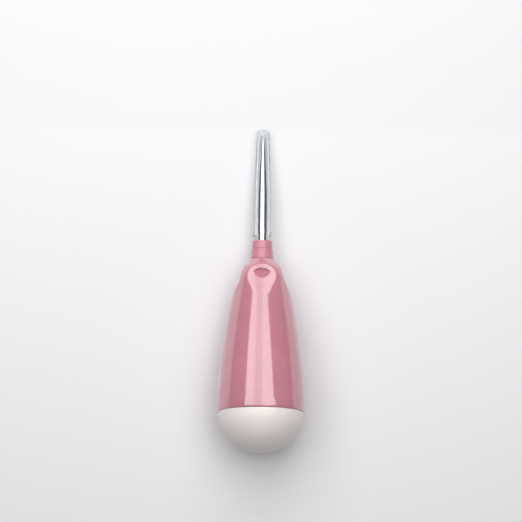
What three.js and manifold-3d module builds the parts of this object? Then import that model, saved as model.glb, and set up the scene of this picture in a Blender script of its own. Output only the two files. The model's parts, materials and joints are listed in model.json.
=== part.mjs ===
// Bookbinding awl with a palm-shaped moulded handle and a push-on point protector.
// Millimetres, +Z up. The awl lies on its side with its point towards +Y, as it rests on a table:
// the belly of the handle and the end of the point protector touch the plane z = 0.
//
// Every outline below is drawn as [radius, station]. A station is the distance along the awl's own
// axis, from the apex of the palm dome (0) towards the point of the spike.

import * as THREE from 'three';
import { mergeVertices } from 'three/addons/utils/BufferGeometryUtils.js';
import Module from 'manifold-3d';

const wasm = await Module();
wasm.setup();

// ---------------------------------------------------------------- driving dimensions

const OVERALL_LENGTH = 130; // dome apex to spike point
const GAP = 0.3; // between pieces that touch or fit into each other

const SEAM = 16.2; // palm dome meets handle body
const BELLY = 20; // widest station of the handle
const SHOULDER = 70; // belly curve ends, shoulder rounding begins
const BODY_FRONT = 79; // front edge of the handle body
const COLLAR_STEP = 83; // tapered collar ends, slimmer nose spigot begins
const NOSE = 86.5; // flat ring around the spike

const DOME_RADIUS = 17.5;
const BELLY_RADIUS = 17.9;
const SHOULDER_RADIUS = 10.9;
const FRONT_RADIUS = 4.9;
const COLLAR_BAND_RADIUS = 4.6;
const COLLAR_BAND_END = 80.1;
const COLLAR_REAR_RADIUS = 4.35;
const COLLAR_FRONT_RADIUS = 4.25;
const SPIGOT_RADIUS = 4;
const SPIKE_RADIUS = 2.25;

const SKIRT_RADIUS = 14.6; // snap skirt of the dome, inside the handle
const SKIRT_END = 22;
const BEAD_HEIGHT = 0.45;
const BEAD_STATION = 20;
const BEAD_FLANK = 0.8; // each slope of the bead, along the axis
const BEAD_ROOM_HALF = 0.4; // flat bottom of the groove it snaps into
const BEAD_ROOM_MOUTH = 1.2;
const SKIRT_LEAD = 0.5; // narrowing that leads the skirt in
const DOME_WALL = 2;
const SKIRT_WALL = 1.6;

const CORE_TAIL = 44;
const CORE_RING_RADIUS = 6; // ring that locks the core into the handle
const CORE_RING_REAR = 63;
const CORE_RING_FRONT = 66;
const BOSS_REAR = 57; // rear face of the solid front part of the handle
const TAIL_CHAMFER = 1;
const NOSE_CHAMFER = 0.3;

const TANG_TAIL = 47.5;
const POINT_TAPER = 24; // length over which the spike narrows to its point
const POINT_FULLNESS = 0.52; // 1 is a straight cone, and less is a fuller, rounder point
const GRIP_GROOVES = [54, 58, 62];
const GROOVE_DEPTH = 0.45;
const GROOVE_WIDTH = 1.2;
const TANG_FLAT = 1.75; // half thickness of the flattened tail
const TANG_FLAT_LENGTH = 4;
const TANG_CHAMFER = 0.5;
const POINT_STEPS = 10;

const CAP_STANDOFF = 2.4; // bare spike between the nose and the protector
const CAP_MOUTH = NOSE + CAP_STANDOFF;
const CAP_WALL = 0.8;
const CAP_LIP = 0.5; // how far the pull lip stands proud
const CAP_LIP_LENGTH = 1.2;
const CAP_TIP_RADIUS = 2.7;
const CAP_TIP = 130; // where the end of the cap starts to round over
const CAP_END = 132.4;
const CAP_END_DRAFT = 0.2; // the rounded end's sides lean in by this much
const CAP_BORE_END = 131;
const CAP_BORE_ROUNDING = 0.65; // how much the bore's blind end narrows
const CAP_BORE_SHORT = 2; // the bore's taper starts and ends this far past the spike's and the cap's

const REST_COUNT = 4;
const REST_STATION = 72.2; // middle of each finger rest
const REST_HEIGHT = 9.06; // of its face above the axis, at that station
const REST_SLOPE = 19.7; // degrees the face falls towards the point
const REST_CROWN = 28; // how gently the face is rounded across
const REST_BLOCK = [16, 26, 8]; // width, length and height of the slab it is cut with
const REST_BLOCK_SINK = 1.5;
const DENT_HALF_WIDTH = 3.6; // the dent in the middle of each rest
const DENT_HALF_LENGTH = 2.3;
const DENT_DEPTH = 1.3;

const HANDLE_SIDES = 48;
const CROWN_SIDES = 96;
const SLIM_SIDES = 32;
const SPIKE_SIDES = 24;

// ---------------------------------------------------------------- materials

function plastic(colour, roughness) {
  return new THREE.MeshStandardMaterial({ color: colour, roughness, metalness: 0 });
}

const rosePlastic = plastic(0xc4808f, 0.3);
const domePlastic = plastic(0xd8ccc6, 0.35);
const steel = new THREE.MeshStandardMaterial({ color: 0xc9cacc, roughness: 0.2, metalness: 1 });
const clearPlastic = new THREE.MeshStandardMaterial({
  color: 0xeef3f5,
  roughness: 0.05,
  metalness: 0,
  transparent: true,
  opacity: 0.3,
});

// ---------------------------------------------------------------- shape helpers

// The axis of revolution is +Y. A flat side, not an edge, faces straight down.
function revolve(outline, sides) {
  const points = outline.map(([radius, station]) => new THREE.Vector2(radius, station));
  return new THREE.LatheGeometry(points, sides, Math.PI / sides);
}

// Points of a quadratic Bezier from one [radius, station] to another, without the first point.
function bend(from, control, to, steps) {
  const curve = new THREE.QuadraticBezierCurve(
    new THREE.Vector2(...from),
    new THREE.Vector2(...control),
    new THREE.Vector2(...to),
  );
  return curve.getPoints(steps).slice(1).map((p) => [p.x, p.y]);
}

// Quarter ellipse from the axis at the apex out to the given radius.
function domeCurve(radius, apex, base, steps) {
  const points = [];
  for (let i = 0; i <= steps; i += 1) {
    const angle = (Math.PI / 2) * (i / steps);
    points.push([radius * Math.sin(angle), base - (base - apex) * Math.cos(angle)]);
  }
  points[0][0] = 0;
  return points;
}

function toSolid(geometry) {
  const bare = geometry.clone();
  bare.deleteAttribute('normal');
  bare.deleteAttribute('uv');
  const merged = mergeVertices(bare, 1e-4);
  const triangles = [];
  const index = merged.index.array;
  for (let i = 0; i < index.length; i += 3) {
    const [a, b, c] = [index[i], index[i + 1], index[i + 2]];
    if (a !== b && b !== c && c !== a) triangles.push(a, b, c);
  }
  return new wasm.Manifold(new wasm.Mesh({
    numProp: 3,
    vertProperties: new Float32Array(merged.attributes.position.array),
    triVerts: new Uint32Array(triangles),
  }));
}

function toMesh(name, solid, material) {
  const { vertProperties, triVerts } = solid.getMesh();
  const geometry = new THREE.BufferGeometry();
  geometry.setAttribute('position', new THREE.BufferAttribute(vertProperties, 3));
  geometry.setIndex(new THREE.BufferAttribute(triVerts, 1));
  geometry.computeVertexNormals();
  const mesh = new THREE.Mesh(geometry, material);
  mesh.name = name;
  return mesh;
}

// ---------------------------------------------------------------- handle body

const BELLY_CONTROL = [16.7, 44];
const SHOULDER_CONTROL = [10.15, 74];
const NECK = [7.3, 76.6];
const NECK_CONTROL = [5.5, 78.1];

// The inside of the hollow handle, from the solid front part back to the dome's skirt.
const HOLLOW_CORNER = [11.6, BOSS_REAR];
const HOLLOW_SIDE = [12.7, 50];
const HOLLOW_SIDE_CONTROL = [14.5, 39];
const SKIRT_ROOM = 2;

function bellyCurve() {
  return bend([BELLY_RADIUS, BELLY], BELLY_CONTROL, [SHOULDER_RADIUS, SHOULDER], 12);
}

// Moulded in one with the solid front boss, and open at the back for the dome's skirt.
function handleOutline() {
  const bore = SPIGOT_RADIUS + GAP;
  const ringBore = CORE_RING_RADIUS + GAP;
  const mouth = SKIRT_RADIUS + GAP;
  const beadRoom = mouth + BEAD_HEIGHT;
  return [
    [DOME_RADIUS, SEAM + GAP],
    ...bend([DOME_RADIUS, SEAM + GAP], [BELLY_RADIUS, SEAM + 1], [BELLY_RADIUS, BELLY], 3),
    ...bellyCurve(),
    ...bend([SHOULDER_RADIUS, SHOULDER], SHOULDER_CONTROL, NECK, 4),
    ...bend(NECK, NECK_CONTROL, [FRONT_RADIUS, BODY_FRONT], 3),
    [bore, BODY_FRONT],
    [bore, CORE_RING_FRONT + GAP],
    [ringBore, CORE_RING_FRONT + GAP],
    [ringBore, CORE_RING_REAR - GAP],
    [bore, CORE_RING_REAR - GAP],
    [bore, BOSS_REAR],
    ...bend([bore, BOSS_REAR], HOLLOW_CORNER, HOLLOW_SIDE, 4),
    ...bend(HOLLOW_SIDE, HOLLOW_SIDE_CONTROL, [mouth, SKIRT_END + SKIRT_ROOM], 4),
    [mouth, BEAD_STATION + BEAD_ROOM_MOUTH],
    [beadRoom, BEAD_STATION + BEAD_ROOM_HALF],
    [beadRoom, BEAD_STATION - BEAD_ROOM_HALF],
    [mouth, BEAD_STATION - BEAD_ROOM_MOUTH],
    [mouth, SEAM + GAP],
    [DOME_RADIUS, SEAM + GAP],
  ];
}

// What one finger rest takes away on the side facing +Z: a slab under a gently crowned face.
function restSlab() {
  const [width, length, height] = REST_BLOCK;
  const slab = new THREE.BoxGeometry(width, length, height);
  slab.translate(0, 0, height / 2 - REST_BLOCK_SINK);
  const crown = new THREE.CylinderGeometry(REST_CROWN, REST_CROWN, length * 2, CROWN_SIDES);
  crown.rotateY(Math.PI / CROWN_SIDES);
  crown.translate(0, 0, -REST_CROWN);
  return toSolid(slab).subtract(toSolid(crown));
}

// The small dent in the middle of that face.
function restDent() {
  const ball = new THREE.SphereGeometry(1, 24, 16);
  ball.rotateX(Math.PI / 2);
  ball.scale(DENT_HALF_WIDTH, DENT_HALF_LENGTH, DENT_DEPTH);
  return toSolid(ball);
}

function handleBody() {
  let solid = toSolid(revolve(handleOutline(), HANDLE_SIDES));
  const cutter = restSlab()
    .add(restDent())
    .rotate([-REST_SLOPE, 0, 0])
    .translate([0, REST_STATION, REST_HEIGHT]);
  for (let i = 0; i < REST_COUNT; i += 1) {
    solid = solid.subtract(cutter.rotate([0, (360 * i) / REST_COUNT, 0]));
  }
  return toMesh('handle_body', solid, rosePlastic);
}

// ---------------------------------------------------------------- palm dome

function palmDome() {
  const inner = SKIRT_RADIUS - SKIRT_WALL;
  const outline = [
    ...domeCurve(DOME_RADIUS, 0, SEAM, 12),
    [SKIRT_RADIUS, SEAM],
    [SKIRT_RADIUS, BEAD_STATION - BEAD_FLANK],
    [SKIRT_RADIUS + BEAD_HEIGHT, BEAD_STATION],
    [SKIRT_RADIUS, BEAD_STATION + BEAD_FLANK],
    [SKIRT_RADIUS - SKIRT_LEAD, SKIRT_END],
    [inner, SKIRT_END],
    [inner, SEAM],
    ...domeCurve(DOME_RADIUS - DOME_WALL, DOME_WALL, SEAM - DOME_WALL, 8).reverse(),
  ];
  return toMesh('palm_dome', toSolid(revolve(outline, HANDLE_SIDES)), domePlastic);
}

// ---------------------------------------------------------------- tang core

// Moulded around the tang, with its tapered collar and square nose showing in front of the handle.
function tangCore() {
  const bore = SPIKE_RADIUS + GAP;
  const outline = [
    [0, CORE_TAIL],
    [SPIGOT_RADIUS - TAIL_CHAMFER, CORE_TAIL],
    [SPIGOT_RADIUS, CORE_TAIL + TAIL_CHAMFER],
    [SPIGOT_RADIUS, CORE_RING_REAR],
    [CORE_RING_RADIUS, CORE_RING_REAR],
    [CORE_RING_RADIUS, CORE_RING_FRONT],
    [SPIGOT_RADIUS, CORE_RING_FRONT],
    [SPIGOT_RADIUS, BODY_FRONT + GAP],
    [COLLAR_BAND_RADIUS, BODY_FRONT + GAP],
    [COLLAR_BAND_RADIUS, COLLAR_BAND_END],
    [COLLAR_REAR_RADIUS, COLLAR_BAND_END],
    [COLLAR_FRONT_RADIUS, COLLAR_STEP],
    [SPIGOT_RADIUS, COLLAR_STEP],
    [SPIGOT_RADIUS, NOSE - NOSE_CHAMFER],
    [SPIGOT_RADIUS - NOSE_CHAMFER, NOSE],
    [bore, NOSE],
    [bore, TANG_TAIL - GAP],
    [0, TANG_TAIL - GAP],
  ];
  return toMesh('tang_core', toSolid(revolve(outline, SLIM_SIDES)), rosePlastic);
}

// ---------------------------------------------------------------- spike

// Half-width of the ground point at a distance back from its tip.
function pointRadius(back) {
  return SPIKE_RADIUS * (back / POINT_TAPER) ** POINT_FULLNESS;
}

function awlSpike() {
  const outline = [
    [0, TANG_TAIL],
    [SPIKE_RADIUS - TANG_CHAMFER, TANG_TAIL],
    [SPIKE_RADIUS, TANG_TAIL + TANG_CHAMFER],
  ];
  for (const station of GRIP_GROOVES) {
    outline.push(
      [SPIKE_RADIUS, station - GROOVE_WIDTH / 2],
      [SPIKE_RADIUS - GROOVE_DEPTH, station - GROOVE_WIDTH / 4],
      [SPIKE_RADIUS - GROOVE_DEPTH, station + GROOVE_WIDTH / 4],
      [SPIKE_RADIUS, station + GROOVE_WIDTH / 2],
    );
  }
  for (let i = POINT_STEPS; i >= 1; i -= 1) {
    const back = POINT_TAPER * (i / POINT_STEPS) ** 2;
    outline.push([pointRadius(back), OVERALL_LENGTH - back]);
  }
  outline.push([0, OVERALL_LENGTH]);

  let solid = toSolid(revolve(outline, SPIKE_SIDES));
  for (const side of [-1, 1]) {
    const chip = new THREE.BoxGeometry(SPIKE_RADIUS * 3, TANG_FLAT_LENGTH * 2, SPIKE_RADIUS);
    chip.translate(0, TANG_TAIL, side * (TANG_FLAT + SPIKE_RADIUS / 2));
    solid = solid.subtract(toSolid(chip));
  }
  return toMesh('awl_spike', solid, steel);
}

// ---------------------------------------------------------------- point protector

function pointProtector() {
  const bore = SPIKE_RADIUS + GAP;
  const rootRadius = bore + CAP_WALL;
  const taperStart = OVERALL_LENGTH - POINT_TAPER;
  const outline = [
    [bore, CAP_MOUTH],
    [rootRadius + CAP_LIP, CAP_MOUTH],
    [rootRadius + CAP_LIP, CAP_MOUTH + CAP_LIP_LENGTH],
    [rootRadius, CAP_MOUTH + CAP_LIP_LENGTH + CAP_LIP],
    [CAP_TIP_RADIUS, CAP_TIP],
    ...bend([CAP_TIP_RADIUS, CAP_TIP], [CAP_TIP_RADIUS - CAP_END_DRAFT, CAP_END], [0, CAP_END], 5),
    [0, CAP_BORE_END],
    [CAP_TIP_RADIUS - CAP_WALL - CAP_BORE_ROUNDING, CAP_BORE_END - CAP_BORE_ROUNDING / 2],
    [CAP_TIP_RADIUS - CAP_WALL, CAP_TIP - CAP_BORE_SHORT],
    [bore, taperStart + CAP_BORE_SHORT],
    [bore, CAP_MOUTH],
  ];
  return toMesh('point_protector', toSolid(revolve(outline, SLIM_SIDES)), clearPlastic);
}

// ---------------------------------------------------------------- assembly

// Angle at which a straight table touches both the belly and the end of the protector.
function restingTilt() {
  const slopes = bellyCurve().map(
    ([radius, station]) => (radius - CAP_TIP_RADIUS) / (CAP_TIP - station),
  );
  return Math.atan(Math.max(...slopes));
}

const awl = new THREE.Group();
awl.add(handleBody(), palmDome(), tangCore(), awlSpike(), pointProtector());
awl.rotation.x = -restingTilt();

// The origin is under the middle of the awl, on the table.
const part = new THREE.Group();
part.add(awl);
part.updateMatrixWorld(true);
const extent = new THREE.Box3().setFromObject(part, true);
const middle = extent.getCenter(new THREE.Vector3());
awl.position.set(-middle.x, -middle.y, -extent.min.z);

export default part;
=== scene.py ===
"""Bookbinding awl lying on a pale table: moulded rose handle, off-white palm dome, polished steel spike
and a clear point protector. Every outline is drawn as (radius, station) in millimetres, where a station
is the distance along the awl's own axis from the apex of the palm dome towards the point."""

import json
import math

import bmesh
import bpy
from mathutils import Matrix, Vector


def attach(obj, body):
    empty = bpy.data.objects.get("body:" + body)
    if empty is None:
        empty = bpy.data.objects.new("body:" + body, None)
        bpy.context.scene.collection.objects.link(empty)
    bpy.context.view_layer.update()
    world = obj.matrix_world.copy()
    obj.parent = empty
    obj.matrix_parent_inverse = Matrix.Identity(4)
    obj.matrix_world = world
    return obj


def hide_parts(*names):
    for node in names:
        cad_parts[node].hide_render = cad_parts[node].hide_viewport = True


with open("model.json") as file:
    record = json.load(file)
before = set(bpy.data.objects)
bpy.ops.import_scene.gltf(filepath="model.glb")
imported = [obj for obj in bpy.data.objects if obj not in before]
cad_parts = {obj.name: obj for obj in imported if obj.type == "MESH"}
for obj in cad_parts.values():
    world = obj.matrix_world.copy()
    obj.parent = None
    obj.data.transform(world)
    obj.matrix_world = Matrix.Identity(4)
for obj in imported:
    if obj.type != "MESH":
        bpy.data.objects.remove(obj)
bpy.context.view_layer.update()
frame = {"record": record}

# ------------------------------------------------------------------ the awl's own axes, from the frame

MM = 0.001
NOSE = 86.5  # station of the flat ring around the spike, where the record's mount sits
MOUNT_RADIUS = 3.1  # how far from the axis the mount's point lies

mount = frame["record"]["mounts"][0]
AXIS = Vector(mount["axis"]).normalized()
ACROSS = Vector((1, 0, 0))
RAISED = ACROSS.cross(AXIS)
APEX = Vector(mount["pos_m"]) - RAISED * MOUNT_RADIUS * MM - AXIS * NOSE * MM
DIP = math.atan2(-AXIS.z, AXIS.y)


def placed(x, station, z):
    """World position, in metres, of a point given in the awl's own axes, in millimetres."""
    return APEX + (ACROSS * x + AXIS * station + RAISED * z) * MM


# ------------------------------------------------------------------ driving dimensions, in millimetres

LENGTH = 130
GAP = 0.3  # room between pieces that fit into each other
SEAM_LINE = 0.12  # the visible line where two mouldings meet
SEAM = 16.2
SEAM_EDGE = (0.06, 0.08)  # how the handle's rear edge eases out and forward from the seam
BELLY = 20
BELLY_RISE = 1  # how far in front of the seam the outline turns towards the belly
SHOULDER = 70
BODY_FRONT = 79
COLLAR_STEP = 83

DOME_RADIUS = 17.5
DOME_EDGE = 0.12
BELLY_RADIUS = 17.9
BELLY_CONTROL = (16.7, 44)
SHOULDER_RADIUS = 10.9
SHOULDER_CONTROL = (10.15, 74)
NECK = (7.3, 76.6)
NECK_CONTROL = (5.5, 78.1)
FRONT_RADIUS = 4.9
FRONT_EDGE = 0.15
COLLAR_BAND_RADIUS = 4.6
COLLAR_BAND_END = 80.1
COLLAR_REAR_RADIUS = 4.35
COLLAR_FRONT_RADIUS = 4.25
SPIGOT_RADIUS = 4
SPIGOT_GROOVE = 0.15  # small groove in front of the collar's step
SPIKE_RADIUS = 2.25

# the dome's snap skirt with its bead, and the room for them in the handle
SKIRT_RADIUS = 14.6
SKIRT_WALL = 1.6
SKIRT_END = 22
SKIRT_LEAD = 0.5
SKIRT_ROOM = 2
BEAD_HEIGHT = 0.45
BEAD_STATION = 20
BEAD_FLANK = 0.8
BEAD_ROOM_HALF = 0.4
BEAD_ROOM_MOUTH = 1.2
DOME_WALL = 2

# the handle's cavity, from its solid front part back to the skirt
BOSS_REAR = 57
CAVITY_CORNER = (11.6, 57)
CAVITY_SIDE = (12.7, 50)
CAVITY_SIDE_CONTROL = (14.5, 39)

CORE_TAIL = 44
CORE_RING_RADIUS = 6
CORE_RING_REAR = 63
CORE_RING_FRONT = 66

TANG_TAIL = 47.5
TANG_CHAMFER = 0.4
TANG_CHAMFER_LENGTH = 0.6
POINT_TAPER = 24
POINT_POWER = 0.52
GRIP_GROOVES = (54, 58, 62)
GROOVE_DEPTH = 0.45
GROOVE_WIDTH = 1.2

CAP_MOUTH = NOSE + 2.4
CAP_WALL = 0.8
CAP_LIP = 0.5
CAP_LIP_LENGTH = 1.2
CAP_LIP_FOOT = 1.8
CAP_TIP_RADIUS = 2.7
CAP_TIP = 130
CAP_END = 132.4
CAP_END_DRAFT = 0.15
CAP_BORE_END = 131
CAP_BORE_TIP_WALL = 1.3  # in cap walls
CAP_BORE_SHORT = 2
CAP_BORE_TAPER_START = LENGTH - POINT_TAPER + 2

# finger rests: a flattened, gently crowned face on the shoulder, as (station, height) along its middle
REST_COUNT = 4
REST_START = 62
REST_FACE = [
    (60, 13.8), (65.3, 11.55), (68.5, 10.19), (72, 9.03), (74.7, 8.14), (76.4, 7.55), (80, 6.3),
]
REST_CROWN = 28
REST_RIM = 0.35

# the small hollow near a rest's front: a long slope down and a short steep front wall
HOLLOW_REAR = 69.4
HOLLOW_FRONT = 74.3
HOLLOW_HALF_WIDTH = 3.8
HOLLOW_DEPTH = 1.45
HOLLOW_ARCH = 1.6
HOLLOW_REAR_ARCH = 2.2
HOLLOW_SLOPE_POWER = 1.6
HOLLOW_WALL_POWER = 40
HOLLOW_FILL = 1.19  # makes up for the depth that the two powers take

# fineness of the meshes
HANDLE_SIDES = 288
DOME_SIDES = 192
SLIM_SIDES = 96
LONG_STEP = 0.45
SHOULDER_STEP = 0.08
POINT_STEPS = 40
SHARP_ANGLE = 38

# ------------------------------------------------------------------ outlines


def bend(start, control, end, steps):
    """Quadratic curve between two outline points, without its first point."""
    points = []
    for i in range(1, steps + 1):
        t = i / steps
        weights = ((1 - t) ** 2, 2 * t * (1 - t), t * t)
        points.append(
            tuple(sum(w * p[k] for w, p in zip(weights, (start, control, end))) for k in (0, 1))
        )
    return points


def rounded(corners, steps=4):
    """Outline through (radius, station, rounding) corners, each one eased by its rounding."""
    points = []
    count = len(corners)
    for i, (r, s, ease) in enumerate(corners):
        if not ease:
            points.append((r, s))
            continue
        here = Vector((r, s))
        before = Vector(corners[i - 1][:2]) - here
        after = Vector(corners[(i + 1) % count][:2]) - here
        start = here + before.normalized() * min(ease, before.length * 0.49)
        end = here + after.normalized() * min(ease, after.length * 0.49)
        points.append(tuple(start))
        points.extend(bend(tuple(start), (r, s), tuple(end), steps))
    return points


def ellipse_quarter(radius, apex, base, steps):
    """From the axis at the apex out to the given radius at the base."""
    points = []
    for i in range(steps + 1):
        angle = math.pi / 2 * i / steps
        points.append((radius * math.sin(angle), base - (base - apex) * math.cos(angle)))
    points[0] = (0.0, apex)
    return points


def dense(points, step):
    """The same outline with no stretch longer than a step."""
    result = [points[0]]
    for a, b in zip(points, points[1:]):
        pieces = max(1, math.ceil(math.dist(a, b) / step))
        for i in range(1, pieces + 1):
            t = i / pieces
            result.append((a[0] + (b[0] - a[0]) * t, a[1] + (b[1] - a[1]) * t))
    return result


def soft_min(a, b, width):
    """The smaller of two values, eased where they cross."""
    if abs(a - b) >= width:
        return min(a, b)
    h = (width - abs(a - b)) / width
    return min(a, b) - h * h * width / 4


def along(points, station):
    """Smooth curve through (station, height) points."""
    for i in range(len(points) - 1):
        if station <= points[i + 1][0]:
            break
    before, after = points[max(i - 1, 0)], points[min(i + 2, len(points) - 1)]
    (s0, h0), (s1, h1) = points[i], points[i + 1]
    t = (station - s0) / (s1 - s0)
    m0 = (h1 - before[1]) / (s1 - before[0]) * (s1 - s0)
    m1 = (after[1] - h0) / (after[0] - s0) * (s1 - s0)
    return (
        (2 * t ** 3 - 3 * t ** 2 + 1) * h0 + (t ** 3 - 2 * t ** 2 + t) * m0
        + (3 * t ** 2 - 2 * t ** 3) * h1 + (t ** 3 - t ** 2) * m1
    )


# ------------------------------------------------------------------ mesh making


def revolve(name, outline, sides, closed=False, shape=None):
    """Surface of revolution about the awl's axis, with an optional shape(radius, station, angle)."""
    verts, faces, rings = [], [], []
    for r, s in outline:
        if r < 1e-6:
            rings.append([len(verts)])
            verts.append(placed(0, s, 0))
            continue
        ring = []
        for k in range(sides):
            angle = 2 * math.pi * (k + 0.5) / sides
            radius = shape(r, s, angle) if shape else r
            ring.append(len(verts))
            verts.append(placed(radius * math.sin(angle), s, radius * math.cos(angle)))
        rings.append(ring)
    pairs = list(zip(rings, rings[1:]))
    if closed:
        pairs.append((rings[-1], rings[0]))
    for a, b in pairs:
        if len(a) == len(b) == 1:
            continue
        for k in range(sides):
            n = (k + 1) % sides
            if len(a) == 1:
                faces.append((a[0], b[n], b[k]))
            elif len(b) == 1:
                faces.append((a[k], a[n], b[0]))
            else:
                faces.append((a[k], a[n], b[n], b[k]))
    mesh = bpy.data.meshes.new(name)
    mesh.from_pydata(verts, [], faces)
    work = bmesh.new()
    work.from_mesh(mesh)
    bmesh.ops.recalc_face_normals(work, faces=work.faces)
    work.to_mesh(mesh)
    work.free()
    mesh.shade_smooth()
    mesh.set_sharp_from_angle(angle=math.radians(SHARP_ANGLE))
    piece = bpy.data.objects.new(name, mesh)
    bpy.context.scene.collection.objects.link(piece)
    return piece


# ------------------------------------------------------------------ handle body and its finger rests


def hollow_depth(station, x):
    """Depth of the small hollow in a finger rest, at a distance x to the side of its middle."""
    u = x / HOLLOW_HALF_WIDTH
    if abs(u) >= 1:
        return 0
    rear = HOLLOW_REAR + HOLLOW_REAR_ARCH * u * u
    front = HOLLOW_FRONT - HOLLOW_ARCH * u * u
    t = (station - rear) / (front - rear)
    if t <= 0 or t >= 1:
        return 0
    profile = t ** HOLLOW_SLOPE_POWER * (1 - t ** HOLLOW_WALL_POWER)
    return HOLLOW_DEPTH * (1 - u * u) * HOLLOW_FILL * profile


def rest_height(station, x):
    """Height above the axis of a finger rest's surface, at a distance x to its side."""
    return along(REST_FACE, station) - x * x / (2 * REST_CROWN) - hollow_depth(station, x)


def with_finger_rests(radius, station, angle):
    """The handle's outer radius, cut down to a finger rest's surface where there is one."""
    if station < REST_START:
        return radius
    turn = 2 * math.pi / REST_COUNT
    aside = (angle + turn / 2) % turn - turn / 2
    height = rest_height(station, radius * math.sin(aside))
    return soft_min(radius, height / math.cos(aside), REST_RIM)


def handle_body():
    """The grip, from the seam forward over belly, shoulder and neck, and back through its bores."""
    start = (DOME_RADIUS, SEAM + SEAM_LINE)
    eased = (start[0] + SEAM_EDGE[0], start[1] + SEAM_EDGE[1])
    widest = (BELLY_RADIUS, BELLY)
    top = (SHOULDER_RADIUS, SHOULDER)
    front = (FRONT_RADIUS, BODY_FRONT - FRONT_EDGE)
    rear = [start, *bend(eased, (BELLY_RADIUS, SEAM + BELLY_RISE), widest, steps=10)]
    belly = bend(widest, BELLY_CONTROL, top, steps=60)
    shoulder = bend(top, SHOULDER_CONTROL, NECK, steps=14)
    neck = bend(NECK, NECK_CONTROL, front, steps=10)
    outer = dense([*rear, *belly], LONG_STEP)
    outer += dense([belly[-1], *shoulder, *neck], SHOULDER_STEP)[1:]
    bore = SPIGOT_RADIUS + GAP
    ring_bore = CORE_RING_RADIUS + GAP
    mouth = SKIRT_RADIUS + GAP
    bead_room = mouth + BEAD_HEIGHT
    inner = [
        (FRONT_RADIUS - FRONT_EDGE, BODY_FRONT),
        (bore, BODY_FRONT),
        (bore, CORE_RING_FRONT + GAP),
        (ring_bore, CORE_RING_FRONT + GAP),
        (ring_bore, CORE_RING_REAR - GAP),
        (bore, CORE_RING_REAR - GAP),
        (bore, BOSS_REAR),
        *bend((bore, BOSS_REAR), CAVITY_CORNER, CAVITY_SIDE, steps=8),
        *bend(CAVITY_SIDE, CAVITY_SIDE_CONTROL, (mouth, SKIRT_END + SKIRT_ROOM), steps=8),
        (mouth, BEAD_STATION + BEAD_ROOM_MOUTH),
        (bead_room, BEAD_STATION + BEAD_ROOM_HALF),
        (bead_room, BEAD_STATION - BEAD_ROOM_HALF),
        (mouth, BEAD_STATION - BEAD_ROOM_MOUTH),
        (mouth, SEAM + SEAM_LINE),
    ]

    def shape(radius, station, angle):
        widest_bore = ring_bore if station < SHOULDER else bore
        return with_finger_rests(radius, station, angle) if radius > widest_bore else radius

    return revolve("rose_handle_body", [*outer, *inner], HANDLE_SIDES, closed=True, shape=shape)


# ------------------------------------------------------------------ palm dome


def palm_dome():
    """The domed end cap: its outside, then its snap skirt with the bead, then its hollow inside."""
    inner = SKIRT_RADIUS - SKIRT_WALL
    rim = (DOME_RADIUS, SEAM - DOME_EDGE)
    hollow = ellipse_quarter(DOME_RADIUS - DOME_WALL, DOME_WALL, SEAM - DOME_WALL, steps=20)
    outline = [
        *ellipse_quarter(DOME_RADIUS, 0, SEAM - DOME_EDGE, steps=48),
        *bend(rim, (DOME_RADIUS, SEAM), (DOME_RADIUS - DOME_EDGE, SEAM), steps=5),
        (SKIRT_RADIUS, SEAM),
        (SKIRT_RADIUS, BEAD_STATION - BEAD_FLANK),
        (SKIRT_RADIUS + BEAD_HEIGHT, BEAD_STATION),
        (SKIRT_RADIUS, BEAD_STATION + BEAD_FLANK),
        (SKIRT_RADIUS - SKIRT_LEAD, SKIRT_END),
        (inner, SKIRT_END),
        (inner, SEAM),
        *reversed(hollow),
    ]
    return revolve("cream_palm_dome", outline, DOME_SIDES)


# ------------------------------------------------------------------ tang core


def tang_core():
    """Stem, locking ring, band, collar and spigot around the spike, as (radius, station, rounding)."""
    bore = SPIKE_RADIUS + GAP
    outline = rounded([
        (0, CORE_TAIL, 0),
        (SPIGOT_RADIUS, CORE_TAIL, 1),
        (SPIGOT_RADIUS, CORE_RING_REAR, 0.1),
        (CORE_RING_RADIUS, CORE_RING_REAR, 0.2),
        (CORE_RING_RADIUS, CORE_RING_FRONT, 0.2),
        (SPIGOT_RADIUS, CORE_RING_FRONT, 0.1),
        (SPIGOT_RADIUS, BODY_FRONT + SEAM_LINE, 0.1),
        (COLLAR_BAND_RADIUS, BODY_FRONT + SEAM_LINE, 0.15),
        (COLLAR_BAND_RADIUS, COLLAR_BAND_END, 0.15),
        (COLLAR_REAR_RADIUS, COLLAR_BAND_END, 0.05),
        (COLLAR_FRONT_RADIUS, COLLAR_STEP, 0.2),
        (SPIGOT_RADIUS - SPIGOT_GROOVE, COLLAR_STEP, 0.05),
        (SPIGOT_RADIUS - SPIGOT_GROOVE, COLLAR_STEP + SPIGOT_GROOVE, 0.05),
        (SPIGOT_RADIUS, COLLAR_STEP + 2 * SPIGOT_GROOVE, 0.1),
        (SPIGOT_RADIUS, NOSE, 0.3),
        (bore, NOSE, 0.15),
        (bore, TANG_TAIL - GAP, 0.1),
        (0, TANG_TAIL - GAP, 0),
    ])
    return revolve("rose_tang_core", outline, SLIM_SIDES)


# ------------------------------------------------------------------ spike


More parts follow.
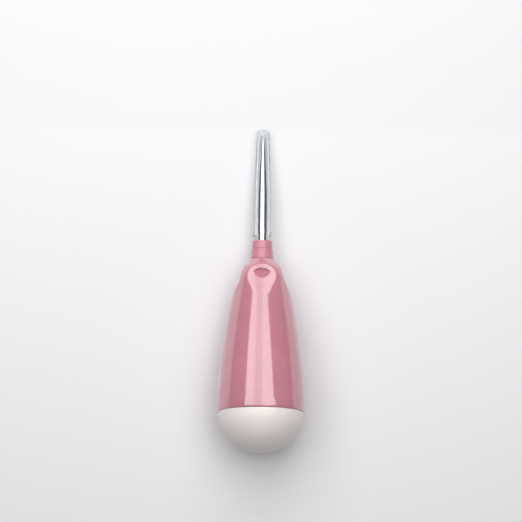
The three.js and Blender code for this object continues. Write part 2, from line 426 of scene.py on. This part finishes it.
def awl_spike():
    """The spike with its grooved tang, drawn finer and finer towards the point."""
    outline = [
        (0, TANG_TAIL),
        (SPIKE_RADIUS - TANG_CHAMFER, TANG_TAIL),
        (SPIKE_RADIUS, TANG_TAIL + TANG_CHAMFER_LENGTH),
    ]
    for station in GRIP_GROOVES:
        outline += [
            (SPIKE_RADIUS, station - GROOVE_WIDTH / 2),
            (SPIKE_RADIUS - GROOVE_DEPTH, station - GROOVE_WIDTH / 4),
            (SPIKE_RADIUS - GROOVE_DEPTH, station + GROOVE_WIDTH / 4),
            (SPIKE_RADIUS, station + GROOVE_WIDTH / 2),
        ]
    for i in range(POINT_STEPS, 0, -1):
        back = POINT_TAPER * (i / POINT_STEPS) ** 2
        outline.append((SPIKE_RADIUS * (back / POINT_TAPER) ** POINT_POWER, LENGTH - back))
    outline.append((0, LENGTH))
    return revolve("steel_awl_spike", outline, SLIM_SIDES)


# ------------------------------------------------------------------ point protector


def point_protector():
    """The clear cap with its pull lip, as (radius, station, rounding)."""
    bore = SPIKE_RADIUS + GAP
    root = bore + CAP_WALL
    outline = rounded([
        (bore, CAP_MOUTH, 0.15),
        (root + CAP_LIP, CAP_MOUTH, 0.2),
        (root + CAP_LIP, CAP_MOUTH + CAP_LIP_LENGTH, 0.3),
        (root, CAP_MOUTH + CAP_LIP_FOOT, 0.4),
        (CAP_TIP_RADIUS, CAP_TIP, 0.3),
        (CAP_TIP_RADIUS - CAP_END_DRAFT, CAP_END, 1.9),
        (0, CAP_END, 0),
        (0, CAP_BORE_END, 0),
        (CAP_TIP_RADIUS - CAP_BORE_TIP_WALL * CAP_WALL, CAP_BORE_END, 0.8),
        (CAP_TIP_RADIUS - CAP_WALL, CAP_TIP - CAP_BORE_SHORT, 0.5),
        (bore, CAP_BORE_TAPER_START, 1),
    ], steps=6)
    return revolve("clear_point_protector", outline, SLIM_SIDES, closed=True)


# ------------------------------------------------------------------ materials

ROSE_LIGHT = (0.57, 0.222, 0.278)
ROSE_DARK = (0.52, 0.198, 0.25)
CREAM_LIGHT = (0.85, 0.78, 0.75)
CREAM_DARK = (0.81, 0.74, 0.71)
STEEL_LIGHT = (0.70, 0.70, 0.71)
STEEL_DARK = (0.60, 0.61, 0.63)
CLEAR_TINT = (0.97, 0.985, 0.99)
HANDLING_HAZE = 0.1  # how much rougher the handling marks are than the plastic around them


class Shader:
    """A Principled material with short calls for its procedural nodes."""

    def __init__(self, name):
        self.material = bpy.data.materials.new(name)
        self.material.use_nodes = True
        self.tree = self.material.node_tree
        self.main = self.tree.nodes["Principled BSDF"]
        self.coords = self.tree.nodes.new("ShaderNodeTexCoord").outputs["Object"]

    def set(self, **values):
        for key, value in values.items():
            self.main.inputs[key.replace("_", " ")].default_value = value

    def node(self, kind, links=(), **settings):
        made = self.tree.nodes.new(kind)
        for key, value in settings.items():
            setattr(made, key, value)
        for socket, value in links:
            if isinstance(value, bpy.types.NodeSocket):
                self.tree.links.new(value, made.inputs[socket])
            else:
                made.inputs[socket].default_value = value
        return made

    def noise(self, scale, detail, roughness, stretch=None, turn=0.0):
        source = self.coords
        if stretch:
            source = self.node("ShaderNodeMapping", [
                ("Vector", source), ("Rotation", (turn, 0, 0)), ("Scale", stretch),
            ]).outputs["Vector"]
        return self.node("ShaderNodeTexNoise", [
            ("Vector", source), ("Scale", scale), ("Detail", detail), ("Roughness", roughness),
        ]).outputs["Fac"]

    def ramp(self, value, low, high, out_low=0.0, out_high=1.0):
        return self.node("ShaderNodeMapRange", [
            ("Value", value), ("From Min", low), ("From Max", high),
            ("To Min", out_low), ("To Max", out_high),
        ]).outputs["Result"]

    def mix(self, factor, first, second):
        made = self.node("ShaderNodeMix", data_type="RGBA")
        self.tree.links.new(factor, made.inputs[0])
        made.inputs[6].default_value = (*first, 1)
        made.inputs[7].default_value = (*second, 1)
        return made.outputs[2]

    def bump(self, height, distance, strength, below=None):
        links = [("Height", height), ("Distance", distance), ("Strength", strength)]
        if below:
            links.append(("Normal", below))
        return self.node("ShaderNodeBump", links).outputs["Normal"]

    def link(self, output, socket):
        self.tree.links.new(output, self.main.inputs[socket])


def moulded_plastic(name, light, dark, roughness, shine, coat, coat_roughness=0.04):
    """Moulded plastic: faint tone drift, hairline handling marks, waviness and orange peel."""
    s = Shader(name)
    s.set(Specular_IOR_Level=shine, IOR=1.5)
    s.set(Coat_Weight=coat, Coat_Roughness=coat_roughness, Coat_IOR=1.5)
    s.set(Subsurface_Weight=0.08, Subsurface_Scale=0.002, Subsurface_Radius=(1.0, 0.45, 0.4))
    drift = s.noise(scale=55, detail=4, roughness=0.6)
    s.link(s.mix(s.ramp(drift, 0.35, 0.65), dark, light), "Base Color")
    marks = s.noise(scale=60, detail=6, roughness=0.7, stretch=(22, 1.2, 22), turn=DIP)
    s.link(s.ramp(marks, 0.45, 0.8, roughness, roughness + HANDLING_HAZE), "Roughness")
    waves = s.noise(scale=75, detail=0, roughness=0.5)
    orange_peel = s.noise(scale=650, detail=2, roughness=0.4)
    grain = s.noise(scale=3800, detail=3, roughness=0.6)
    relief = s.bump(waves, distance=0.12 * MM, strength=0.6)
    relief = s.bump(orange_peel, distance=0.02 * MM, strength=0.25, below=relief)
    relief = s.bump(grain, distance=0.004 * MM, strength=0.3, below=relief)
    s.link(relief, "Normal")
    return s.material


def polished_steel():
    """Bright steel with fine polishing marks around the spike."""
    s = Shader("polished_steel")
    s.set(Metallic=1.0)
    drift = s.noise(scale=160, detail=4, roughness=0.6)
    s.link(s.mix(s.ramp(drift, 0.35, 0.65), STEEL_DARK, STEEL_LIGHT), "Base Color")
    marks = s.noise(scale=70, detail=5, roughness=0.65, stretch=(3, 60, 3), turn=DIP)
    s.link(s.ramp(marks, 0.3, 0.75, 0.12, 0.24), "Roughness")
    s.link(s.bump(marks, distance=0.006 * MM, strength=0.35), "Normal")
    return s.material


def clear_plastic():
    """Thin clear plastic with a trace of haze and moulding ripple."""
    s = Shader("clear_plastic")
    s.set(Transmission_Weight=1.0, IOR=1.18, Base_Color=(*CLEAR_TINT, 1))
    haze = s.noise(scale=300, detail=4, roughness=0.6)
    s.link(s.ramp(haze, 0.4, 0.8, 0.015, 0.06), "Roughness")
    ripple = s.noise(scale=500, detail=2, roughness=0.4)
    s.link(s.bump(ripple, distance=0.01 * MM, strength=0.15), "Normal")
    return s.material


# ------------------------------------------------------------------ pieces on their bodies

rose = moulded_plastic(
    "rose_plastic", ROSE_LIGHT, ROSE_DARK, roughness=0.1, shine=1.0, coat=1.0,
)
rose_matt = moulded_plastic(
    "rose_matt_plastic", ROSE_LIGHT, ROSE_DARK, roughness=0.38, shine=0.5, coat=0.35,
    coat_roughness=0.25,
)
cream = moulded_plastic(
    "cream_plastic", CREAM_LIGHT, CREAM_DARK, roughness=0.34, shine=0.5, coat=0.0,
)
steel = polished_steel()
clear = clear_plastic()

# how each piece is made, the CAD node it replaces, its body, its material slot and its material
PIECES = [
    (handle_body, "handle_body", "handle", "rose_plastic", rose),
    (palm_dome, "palm_dome", "handle", "cream_plastic", cream),
    (tang_core, "tang_core", "handle", "rose_plastic", rose_matt),
    (awl_spike, "awl_spike", "handle", "spike_steel", steel),
    (point_protector, "point_protector", "protector", "clear_plastic", clear),
]

for make, node, body, slot, material in PIECES:
    piece = make()
    piece.data.materials.append(material)
    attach(piece, body)
    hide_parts(node)

# ------------------------------------------------------------------ table

TABLE_REACH = 1600
TABLE_LEVEL_TONE = (0.80, 0.80, 0.812)
TABLE_PAINTED_SHADE_TONE = (0.75, 0.75, 0.761)  # painted shade: a darker colour on the slope, which evens out the extra light that the slope gathers
TABLE_LEAN = 0.165  # how far the slope's normal leans, at its steepest

# where the table falls away in front of the awl, as (distance, height) along +Y
TABLE_FALL = [
    (60, 0), (66, -0.35), (74, -1.6), (86, -3.6), (100, -5.9),
    (116, -8.2), (140, -11), (200, -15), (300, -16),
]


def table():
    """Plain pale table, level under the awl, and lower beyond it where the protector is pulled off."""
    fall_start, fall_end = TABLE_FALL[0][0], TABLE_FALL[-1][0]
    rows = [-TABLE_REACH, *range(fall_start, fall_end), TABLE_REACH]
    verts = []
    for y in rows:
        z = 0 if y <= fall_start else along(TABLE_FALL, min(y, fall_end))
        verts += [(x * MM, y * MM, z * MM) for x in (-TABLE_REACH, TABLE_REACH)]
    faces = [(2 * i, 2 * i + 1, 2 * i + 3, 2 * i + 2) for i in range(len(rows) - 1)]
    mesh = bpy.data.meshes.new("pale_table")
    mesh.from_pydata(verts, [], faces)
    mesh.shade_smooth()
    s = Shader("pale_table")
    s.set(Roughness=0.75, Specular_IOR_Level=0.25)
    normal = s.node("ShaderNodeNewGeometry").outputs["Normal"]
    lean = s.node("ShaderNodeSeparateXYZ", [("Vector", normal)]).outputs["Y"]
    # painted shade: the table's colour darkens where its normal leans towards +Y, on the slope
    s.link(s.mix(s.ramp(lean, 0, TABLE_LEAN), TABLE_LEVEL_TONE, TABLE_PAINTED_SHADE_TONE), "Base Color")
    mesh.materials.append(s.material)
    floor = bpy.data.objects.new("pale_table", mesh)
    bpy.context.scene.collection.objects.link(floor)


table()

# ------------------------------------------------------------------ lights

LIGHT_HEIGHT = 0.5
STRIP = 2.62
MIDDLE = 1.8
ROOM_COLOUR = (0.86, 0.88, 0.92)
ROOM_STRENGTH = 0.15

# name, x, y, width, length, radiance and turn in degrees
SOFTBOXES = [
    ("left_strip", -0.307, 0.54, 0.27, 1.31, STRIP, 0),
    ("middle_panel", -0.072, 0.54, 0.2, 1.31, MIDDLE, 0),
    ("right_strip", 0.157, 0.21, 0.3, 0.65, STRIP, 20),
    ("far_right_strip", 0.187, 0.85, 0.318, 0.69, STRIP, 0),
    ("right_strip_foot", 0.074, 0.015, 0.092, 0.29, STRIP, 0),
]


def softbox(name, x, y, width, length, radiance, turn):
    """A rectangular light hung level above the awl, facing straight down."""
    light = bpy.data.lights.new(name, "AREA")
    light.shape = "RECTANGLE"
    light.size = width
    light.size_y = length
    light.energy = radiance * math.pi * width * length
    lamp = bpy.data.objects.new(name, light)
    lamp.location = (x, y, LIGHT_HEIGHT)
    lamp.rotation_euler = (0, 0, math.radians(turn))
    lamp.visible_camera = False
    bpy.context.scene.collection.objects.link(lamp)


for settings in SOFTBOXES:
    softbox(*settings)

world = bpy.data.worlds.new("soft_room")
world.use_nodes = True
background = world.node_tree.nodes["Background"]
background.inputs["Color"].default_value = (*ROOM_COLOUR, 1)
background.inputs["Strength"].default_value = ROOM_STRENGTH
bpy.context.scene.world = world
bpy.context.scene.view_settings.view_transform = "Standard"

# ------------------------------------------------------------------ camera

# It looks almost straight down, from far off, with the point towards the top of the picture.
FRAME_WIDTH = 0.2116
LENS = 300
SENSOR = 36
CAMERA_LEAN = math.radians(1.56)
CAMERA_ROLL = math.radians(0.5)
LOOK_AT = Vector((-0.00046, 0.01214, 0.012))

camera_data = bpy.data.cameras.new("camera")
camera_data.lens = LENS
camera_data.sensor_width = SENSOR
camera_data.clip_end = 10
camera = bpy.data.objects.new("camera", camera_data)
camera.rotation_euler = (CAMERA_LEAN, 0, CAMERA_ROLL)
back = camera.rotation_euler.to_matrix() @ Vector((0, 0, 1))
camera.location = LOOK_AT + back * (FRAME_WIDTH * LENS / SENSOR)
bpy.context.scene.collection.objects.link(camera)
bpy.context.scene.camera = camera
